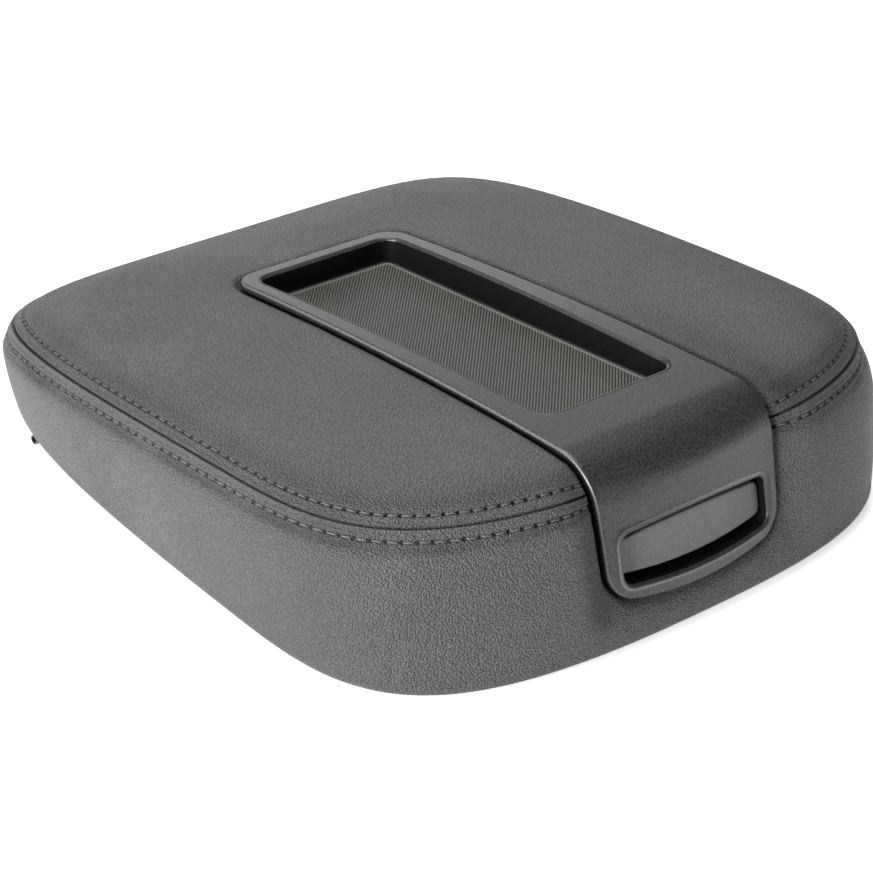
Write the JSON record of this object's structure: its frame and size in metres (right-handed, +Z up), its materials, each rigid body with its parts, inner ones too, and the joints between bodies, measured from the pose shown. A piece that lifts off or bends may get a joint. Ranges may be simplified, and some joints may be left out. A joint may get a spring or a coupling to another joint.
{
  "type": "center console lid",
  "caption": "Padded leather-covered console lid and armrest with a sunken tray in its top, a sprung pull latch in its front and a rear hinge.",
  "frame": {"origin": "centre of the footprint, on the surface the lid stands on", "axes": "+X to the right seen from the latch side, +Y towards the hinge, +Z up"},
  "size_m": [0.3432, 0.3543, 0.0886],
  "materials": {
    "leather": "satin, fine pebble grain",
    "foam": "moulded grey foam",
    "shell_plastic": "moulded, plain",
    "trim_plastic": "fine-grained matte",
    "mat_rubber": "cross-hatched",
    "handle_plastic": "fine-grained matte",
    "liner_plastic": "coarse-grained matte",
    "black_rubber": "matte",
    "screw_steel": "black zinc plated",
    "hinge_steel": "black electrocoat",
    "bright_steel": "zinc plated",
    "bush_nylon": "natural nylon"
  },
  "bodies": {
    "lid": {"top_panel": "leather", "side_panel": "leather", "foam_pad": "foam", "upper_shell": "shell_plastic", "trim_bezel": "trim_plastic", "tray_mat": "mat_rubber", "bezel_screws": "screw_steel", "latch_housing": "shell_plastic", "housing_screws": "screw_steel", "latch_pin": "bright_steel", "latch_spring": "bright_steel", "inner_liner": "liner_plastic", "liner_screws": "screw_steel", "rubber_stops": "black_rubber", "hinge_bracket_left": "hinge_steel", "hinge_bracket_right": "hinge_steel", "bracket_screws": "screw_steel", "hinge_pin_left": "bright_steel", "hinge_pin_right": "bright_steel", "hinge_clips": "bright_steel"},
    "handle": {"latch_handle": "handle_plastic"},
    "base": {"hinge_base": "hinge_steel", "hinge_bushes": "bush_nylon"}
  },
  "joints": [
    {"name": "latch_pull", "type": "hinge", "parent": "lid", "child": "handle", "pos_m": [0, -0.1545, 0.0555], "axis": [-1, 0, 0], "range_deg": [0, 12], "stiffness_Nm_per_rad": 0.6, "springref_deg": -20.05},
    {"name": "lid_hinge", "type": "hinge", "parent": "lid", "child": "base", "pos_m": [0, 0.139, 0.014], "axis": [1, 0, 0], "range_deg": [0, 95]}
  ]
}
